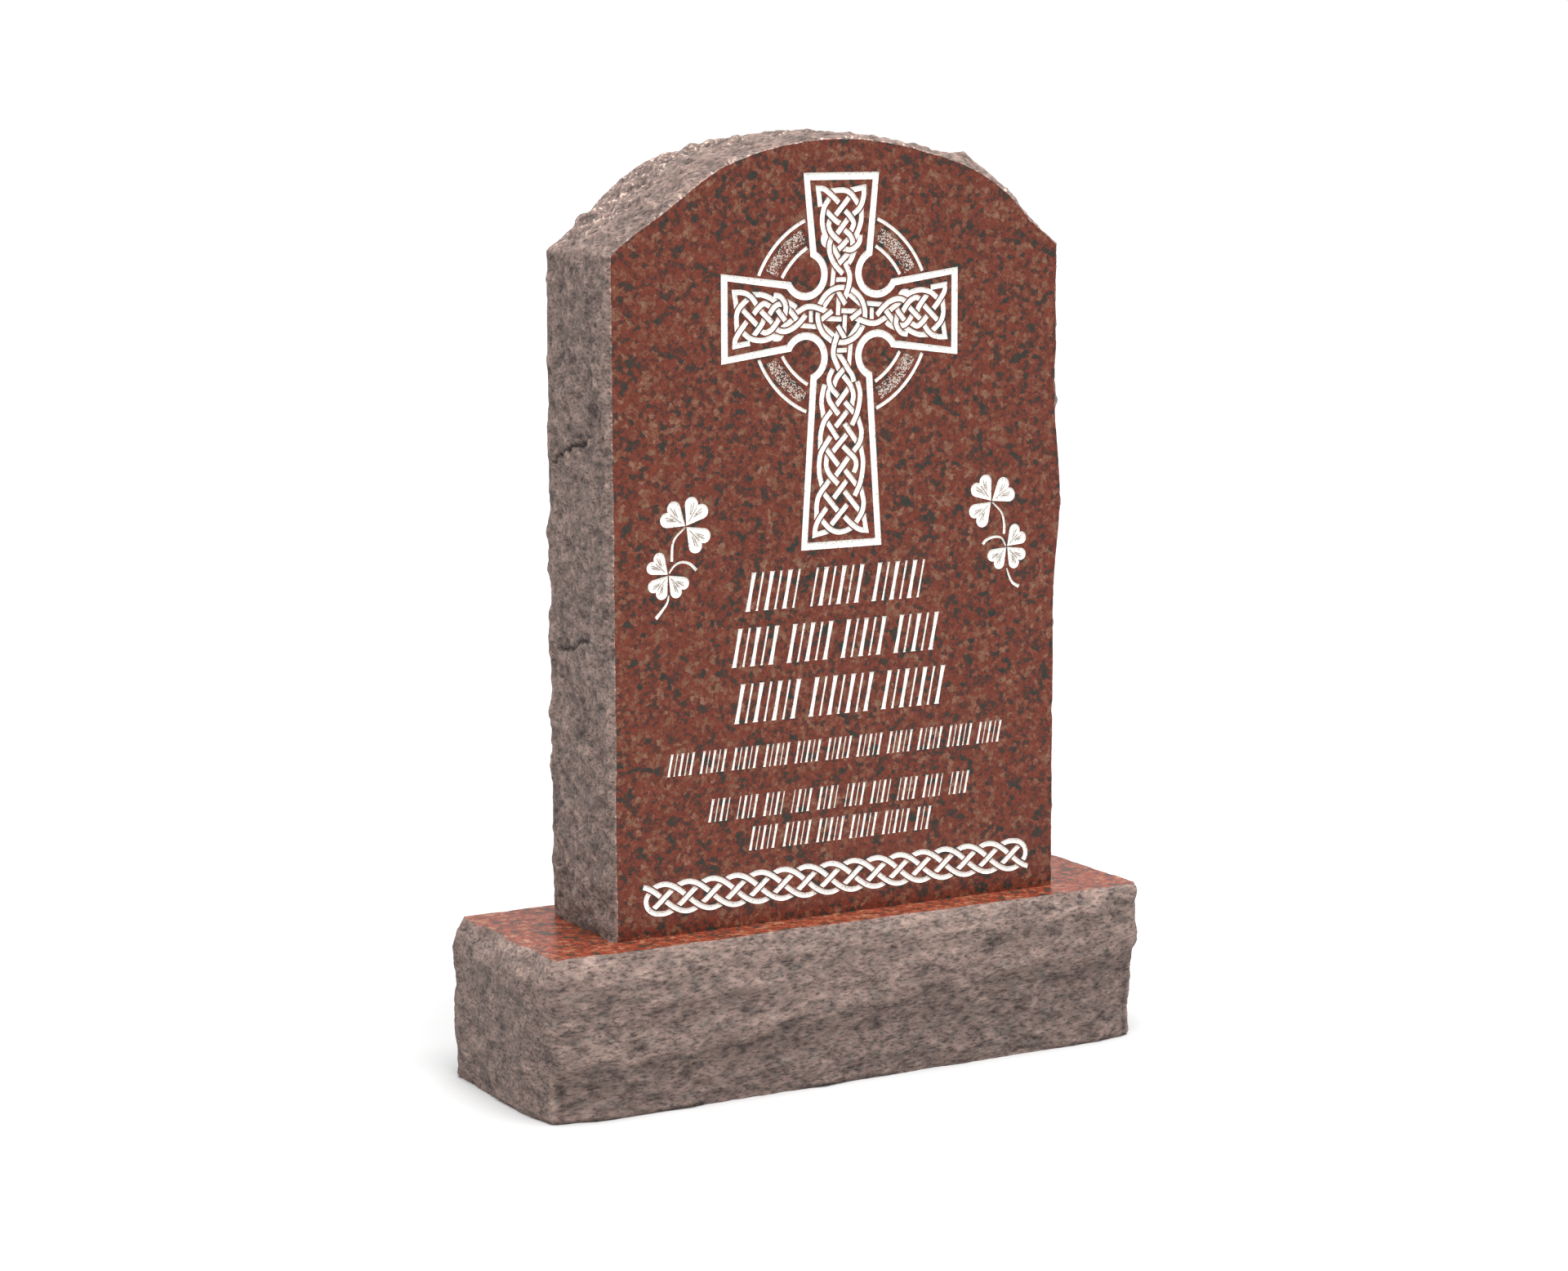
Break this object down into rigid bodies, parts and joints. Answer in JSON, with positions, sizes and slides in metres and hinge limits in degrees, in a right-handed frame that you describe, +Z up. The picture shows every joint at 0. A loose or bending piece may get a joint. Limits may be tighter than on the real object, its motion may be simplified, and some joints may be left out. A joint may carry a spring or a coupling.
{
  "type": "celtic cross headstone",
  "caption": "Upright granite headstone on a wider granite base, with an arched top, rock-pitched sides and a shallow painted ringed cross with knotwork on its polished front.",
  "frame": {"origin": "centre of the base's underside, at the middle of the bounding box", "axes": "+Z up, the carved front faces -Y, +X to the right as seen from the front"},
  "size_m": [0.84, 0.2884, 1.1173],
  "materials": {
    "tablet_stone": "polished red-brown granite front and back, rock-pitched sides and top, off-white painted carving",
    "base_stone": "polished red-brown granite top, rock-pitched sides"
  },
  "bodies": {
    "root": {"tablet": "tablet_stone", "base": "base_stone"}
  },
  "joints": []
}
